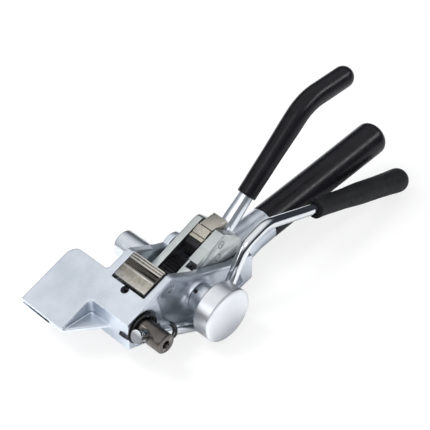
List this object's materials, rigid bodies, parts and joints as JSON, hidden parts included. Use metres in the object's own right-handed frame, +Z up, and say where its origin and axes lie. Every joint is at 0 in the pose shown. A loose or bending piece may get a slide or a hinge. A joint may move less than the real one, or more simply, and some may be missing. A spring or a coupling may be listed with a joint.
{
  "type": "band tensioner",
  "caption": "Hand tool that tightens and cuts metal banding: cast frame with nose plate, ratchet windlass turned by a lever or a knob, and a cutter worked by a sprung bar.",
  "frame": {"origin": "centre of the whole tool's footprint box, on the plane of the frame's flat belly", "axes": "+X towards the nose along the tool, +Y towards the knob, +Z up"},
  "size_m": [0.2948, 0.1042, 0.1163],
  "materials": {
    "frame": "bright zinc plated casting",
    "fixed_grip": "glossy black dipped vinyl",
    "grub_screw": "black oxide",
    "pad_pin": "bare steel",
    "torsion_spring": "black oxide",
    "pad_spring": "black oxide",
    "windlass": "satin zinc",
    "ratchet_gear": "black oxide",
    "knob_collar": "satin zinc",
    "collar_pin": "black oxide",
    "knob": "knurled satin zinc",
    "lever_cheek_right": "satin zinc",
    "lever_cheek_left": "satin zinc",
    "tension_rod": "bright zinc",
    "tension_grip": "glossy black dipped vinyl",
    "pawl_pin": "riveted steel",
    "root_pin": "riveted steel",
    "cheek_screw": "black oxide",
    "pawl_spring": "black oxide",
    "drive_pawl": "nickel-coloured ground steel",
    "pawl_tooth": "hardened black steel",
    "thumb_pad": "bare ground steel",
    "cutter_shaft": "dark turned steel",
    "cutter_bar": "polished chrome",
    "cutter_grip": "matt black rubber",
    "shaft_set_screw": "black oxide"
  },
  "bodies": {
    "frame": {"frame": "frame", "fixed_grip": "fixed_grip", "grub_screw": "grub_screw", "pad_pin": "pad_pin", "torsion_spring": "torsion_spring", "pad_spring": "pad_spring"},
    "windlass": {"windlass": "windlass", "ratchet_gear": "ratchet_gear", "knob_collar": "knob_collar", "collar_pin": "collar_pin", "knob": "knob"},
    "lever": {"lever_cheek_left": "lever_cheek_left", "lever_cheek_right": "lever_cheek_right", "tension_rod": "tension_rod", "tension_grip": "tension_grip", "pawl_pin": "pawl_pin", "root_pin": "root_pin", "cheek_screw": "cheek_screw", "pawl_spring": "pawl_spring"},
    "pawl": {"drive_pawl": "drive_pawl", "pawl_tooth": "pawl_tooth"},
    "pad": {"thumb_pad": "thumb_pad"},
    "cutter": {"cutter_shaft": "cutter_shaft", "cutter_bar": "cutter_bar", "cutter_grip": "cutter_grip", "shaft_set_screw": "shaft_set_screw"}
  },
  "joints": [
    {"name": "lever_swing", "type": "hinge", "parent": "frame", "child": "lever", "pos_m": [0.0606, 0.00235, 0.0235], "axis": [0, 1, 0], "range_deg": [0, 48]},
    {"name": "windlass_spin", "type": "hinge", "parent": "frame", "child": "windlass", "pos_m": [0.0606, 0.00235, 0.0235], "axis": [0, 1, 0], "continuous": true},
    {"name": "pawl_lift", "type": "hinge", "parent": "lever", "child": "pawl", "pos_m": [0.0331, 0.00235, 0.0465], "axis": [0, 1, 0], "range_deg": [-8, 0], "stiffness_Nm_per_rad": 0.3, "springref_deg": 8.59, "deforming": ["pawl_spring"]},
    {"name": "pad_press", "type": "hinge", "parent": "frame", "child": "pad", "pos_m": [0.0816, 0.00235, 0.041], "axis": [0, 1, 0], "range_deg": [0, 4], "stiffness_Nm_per_rad": 0.8, "springref_deg": -5.73, "deforming": ["pad_spring"]},
    {"name": "cutter_swing", "type": "hinge", "parent": "frame", "child": "cutter", "pos_m": [0.1096, 0.00235, 0.0286], "axis": [0, 1, 0], "range_deg": [-45, 0], "stiffness_Nm_per_rad": 0.4, "springref_deg": 57.3, "deforming": ["torsion_spring"]}
  ]
}
